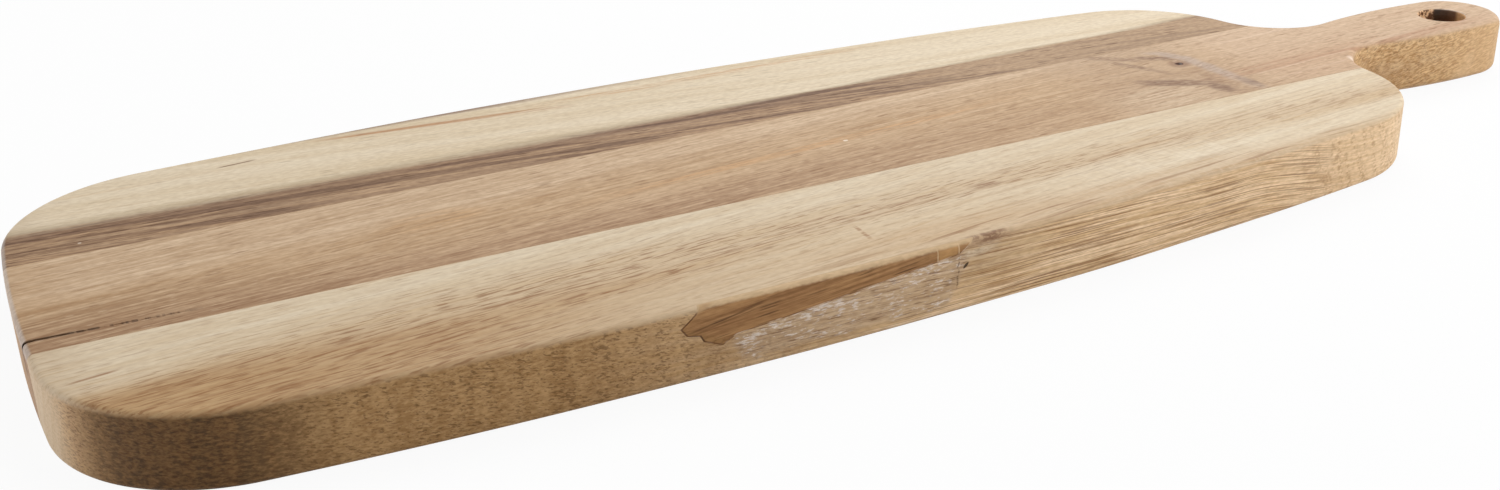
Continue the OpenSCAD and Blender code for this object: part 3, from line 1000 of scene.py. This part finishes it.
    # Filler smeared over the edge below the patch, with the wood's dashes showing through
    below = 9.05 + 0.097 * (x - 137.6) - z
    patchy = wood.noise(wood.vector(x / 8, z / 2.4, 0.0), 3.0, 0.6)
    frosty = wood.noise(wood.vector(x / 2.0, z / 0.6, 5.0), 3.0, 0.65)
    hazy = rise(below + 1.5 * (patchy - 0.5), -0.2, 0.3)
    hazy = hazy * rise(z + 2.5 * (patchy - 0.5), 1.8, 3.4)
    hazy = hazy * rise(x + 0.35 * z + 3 * (patchy - 0.5), 138.5, 141)
    hazy = hazy * rise(x - 0.5 * z + 3 * (patchy - 0.5), 192, 189.5)
    tail = between(z - 0.09 * (x - 202), 13.6, 15.8, 0.7)
    tail = tail * between(x, 196.5, 205, 2.5) * rise(patchy, 0.3, 0.5)
    hazy = hazy * front
    tail = tail * front
    smeared = wood.most(hazy, 0.9 * tail)
    snow = rise(frosty + 0.8 * (patchy - 0.5) + 0.06 * rise(below, 4.5, 0.3), 0.54, 0.74)
    thin = wood.noise(wood.vector(x / 5, layer / 0.34, 9.0), 2.0)
    arris_by_tail = rise(y, -72.6, -73.4) * rise(depth, 2.2, 1.2)
    arris_by_tail = arris_by_tail * between(x + 5 * (patchy - 0.5), 199.5, 208, 4)
    seam = rise(abs(x - 194.5 - 0.084 * (z - 8) + 1.8 * (patchy - 0.5)), 0.34, 0.1)
    seam = seam * between(z, 6.5, 13.6, 0.8) * front * rise(frosty, 0.4, 0.55)
    nick_way = ((x - 196.9 - 0.8 * (z - 11.5)) / 0.55) ** 2 + ((z - 11.5) / 0.75) ** 2
    nick = rise(nick_way, 1.2, 0.5) * front
    colour = wood.coats(colour, [
        ((170, 144, 117), 0.5 * smeared),
        ((228, 218, 210), 0.7 * hazy * snow),
        ((206, 184, 155), 0.85 * tail * rise(frosty, 0.25, 0.55)),
        ((112, 78, 50), 0.7 * smeared * rise(thin, 0.56, 0.68)),
        ((158, 120, 86), 0.5 * arris_by_tail),
        ((122, 84, 60), 0.75 * arris_by_tail * rise(frosty, 0.36, 0.56)),
        ((92, 64, 42), 0.65 * seam),
        ((44, 28, 18), 0.9 * nick),
    ])
    colour = wood.napped(colour, 0.05 + 0.05 * front)
    height = 0.6 * fibre + 0.4 * hairs - 0.8 * pores - 0.6 * dashes - 0.7 * front * speck_ink
    height = height - 0.3 * front * vein_ink + 0.9 * hazy * snow
    return wood.sanded(colour, fibre, pores, height)


def patch_wood():
    """Darker sliver whose grain runs with its lower edge."""
    wood = Wood("patch_wood", 0.0, (0, -400), 17.0)
    rise, between = wood.rise, wood.between
    x, y, z, depth = wood.x, wood.y, wood.z, wood.depth
    along = z - 0.094 * x
    lean = wood.vector(x, along, y)
    lines = wood.noise(wood.steps(lean, (50, 1.2, 4), (2.0, 2.0, 0.0)), 3.0)
    hairs = wood.noise(wood.steps(lean, (16, 0.3, 2), (5.0, 5.0, 0.0)), 3.0, 0.6)
    tone = 0.65 * lines + 0.45 * hairs
    colour = wood.blend(paint(132, 92, 56), paint(168, 126, 82), rise(tone, 0.4, 0.7))
    streaks = wood.cells(wood.steps(lean, (12, 0.7, 6)), 0.45, 0.32)
    ragged = wood.noise(wood.vector(x / 1.5, z / 0.8, 3.0), 2.0)
    off_vein = z - 12.2 - 0.2 * (x - 129) + 1.2 * (lines - 0.5)
    vein = wood.most(rise(abs(off_vein), 0.34, 0.1), 0.6 * rise(abs(off_vein + 0.75), 0.3, 0.1))
    vein = vein * between(x, 127, 145, 3) * rise(hairs, 0.3, 0.5)
    foot = rise(z + 0.45 * (x - 132) + 2.5 * (ragged - 0.5), 11.2, 8.6)
    tip = between(x, 189.4, 194.5, 0.5)
    slit = wood.most(between(x, 188.95, 189.25, 0.15), between(x, 194.75, 195.05, 0.15))
    nose = rise(depth - 0.4 * (133 - x), 0.3, -0.7)
    colour = wood.coats(colour, [
        ((72, 46, 26), 0.75 * streaks),
        ((148, 111, 68), 0.7 * foot),
        ((92, 60, 34), 0.5 * foot * rise(ragged, 0.52, 0.64)),
        ((80, 50, 28), 0.6 * vein),
        ((190, 146, 92), 0.6 * tip),
        ((222, 194, 154), 0.6 * slit),
        ((212, 182, 142), 0.88 * rise(depth + 0.5 * (ragged - 0.5), 1.0, 0.4)),
        ((190, 154, 112), 0.8 * nose),
    ])
    colour = wood.napped(colour, 0.1)
    height = 0.5 * hairs + 0.4 * lines - 0.6 * streaks - 0.5 * slit
    return wood.finish(colour, 0.52 + 0.15 * hairs, height, 0.3, 0.12)


def glue_film():
    """Hardened wood glue, about as dark as the wood on both sides of it."""
    wood = Wood("wood_glue", 0.0, (0, -60), 23.0)
    cloud = wood.fibre(14, 2, 1.0)
    colour = wood.blend(paint(162, 128, 96), paint(196, 164, 130), wood.rise(cloud, 0.3, 0.7))
    return wood.finish(colour, 0.42 + 0.15 * cloud, cloud, 0.2, 0.05)


def patch_filler():
    """Glue and filler that has dried round the patch."""
    wood = Wood("patch_filler", 0.0, (0, -60), 29.0)
    cloud = wood.fibre(3, 0.7, 1.0, 3.0)
    colour = wood.blend(paint(128, 92, 60), paint(196, 170, 144), wood.rise(cloud, 0.38, 0.66))
    blunt = wood.rise(wood.x, 138, 133)
    colour = wood.coats(colour, [
        ((112, 76, 46), 0.85 * blunt),
        ((204, 174, 136), 0.9 * wood.rise(wood.depth, 1.6, 0.7)),
    ])
    return wood.finish(colour, 0.6 + 0.2 * cloud, cloud, 0.4, 0.1)


WOODS = {
    "far_stave_wood": far_stave_wood(),
    "centre_stave_wood": centre_stave_wood(),
    "near_stave_wood": near_stave_wood(),
    "patch_wood": patch_wood(),
    "wood_glue": glue_film(),
    "patch_filler": patch_filler(),
}
for piece, slot in PIECES.values():
    piece.data.materials.clear()
    piece.data.materials.append(WOODS[slot])


def pale_floor():
    """A pale floor that keeps the board's shadow, and looks nearly white to the camera."""
    data = bpy.data.meshes.new("floor")
    corners = [(x * FLOOR_REACH, y * FLOOR_REACH, 0) for x, y in ((-1, -1), (1, -1), (1, 1), (-1, 1))]
    data.from_pydata(corners, [], [(0, 1, 2, 3)])
    floor = bpy.data.objects.new("floor", data)
    bpy.context.scene.collection.objects.link(floor)
    floor.location.z = -FLOOR_DROP
    finish = Finish("pale_floor")
    finish.surface({"Base Color": (0.86, 0.86, 0.86, 1.0), "Roughness": 0.9, "Specular IOR Level": 0.0})
    ray = finish.node("ShaderNodeLightPath", {}, {}, "Is Camera Ray")
    seen = finish.most(finish.most(ray, ray.other("Is Glossy Ray")), ray.other("Is Transmission Ray"))
    white = finish.node("ShaderNodeEmission", {}, {"Color": WHITE, "Strength": 1.0})
    own = Varying(finish, finish.shader.outputs[0])
    mixed = finish.node("ShaderNodeMixShader", {}, {0: 0.93 * seen, 1: own, 2: white})
    finish.feed(finish.tree.nodes["Material Output"].inputs["Surface"], mixed)
    data.materials.append(finish.material)


def studio_air(level):
    """Even light from all round, and white where the camera looks past the floor."""
    world = bpy.data.worlds.new("studio")
    bpy.context.scene.world = world
    air = Nodes(world)
    air.tree.nodes.remove(air.tree.nodes["Background"])
    around = air.node("ShaderNodeBackground", {}, {"Color": WHITE, "Strength": level})
    beyond = air.node("ShaderNodeBackground", {}, {"Color": WHITE, "Strength": 1.0})
    ray = air.node("ShaderNodeLightPath", {}, {}, "Is Camera Ray")
    mixed = air.node("ShaderNodeMixShader", {}, {0: ray, 1: around, 2: beyond})
    air.feed(air.tree.nodes["World Output"].inputs["Surface"], mixed)


def soft_box(name, place, target, size, power):
    """A square area lamp at a place, turned to a target."""
    data = bpy.data.lights.new(name, "AREA")
    data.shape = "SQUARE"
    data.size = size
    data.energy = power
    lamp = bpy.data.objects.new(name, data)
    bpy.context.scene.collection.objects.link(lamp)
    lamp.location = place
    lamp.rotation_euler = (Vector(target) - Vector(place)).to_track_quat("-Z", "Y").to_euler()


def photo_camera():
    """The camera where the picture was taken from, turned, dipped and slightly rolled."""
    turn, dip, roll = CAMERA_TURNS
    forward = Vector((math.sin(turn) * math.cos(dip), math.cos(turn) * math.cos(dip), -math.sin(dip)))
    level = Vector((math.cos(turn), -math.sin(turn), 0))
    up = level.cross(forward)
    right = level * math.cos(roll) + up * math.sin(roll)
    upright = up * math.cos(roll) - level * math.sin(roll)
    data = bpy.data.cameras.new("camera")
    data.sensor_fit = "HORIZONTAL"
    data.sensor_width = SENSOR_WIDTH
    data.lens = SENSOR_WIDTH * FOCAL_PX / PHOTO_WIDTH_PX
    data.clip_start = 0.01
    camera = bpy.data.objects.new("camera", data)
    bpy.context.scene.collection.objects.link(camera)
    turned = Matrix((right, upright, -forward)).transposed().to_4x4()
    camera.matrix_world = Matrix.Translation(CAMERA_PLACE) @ turned
    bpy.context.scene.camera = camera


pale_floor()
studio_air(level=0.24)
soft_box("overhead_box", place=(0.5, 0.42, 0.85), target=(0.03, 0.0, 0.0), size=0.9, power=9.0)
soft_box("handle_side_box", place=(0.62, -0.75, 0.42), target=(0.1, -0.05, 0.0), size=0.5, power=5.5)
soft_box("blade_end_box", place=(-0.85, 0.2, 0.18), target=(-0.22, 0.0, 0.01), size=0.3, power=2.6)
photo_camera()
bpy.context.scene.view_settings.view_transform = "Standard"
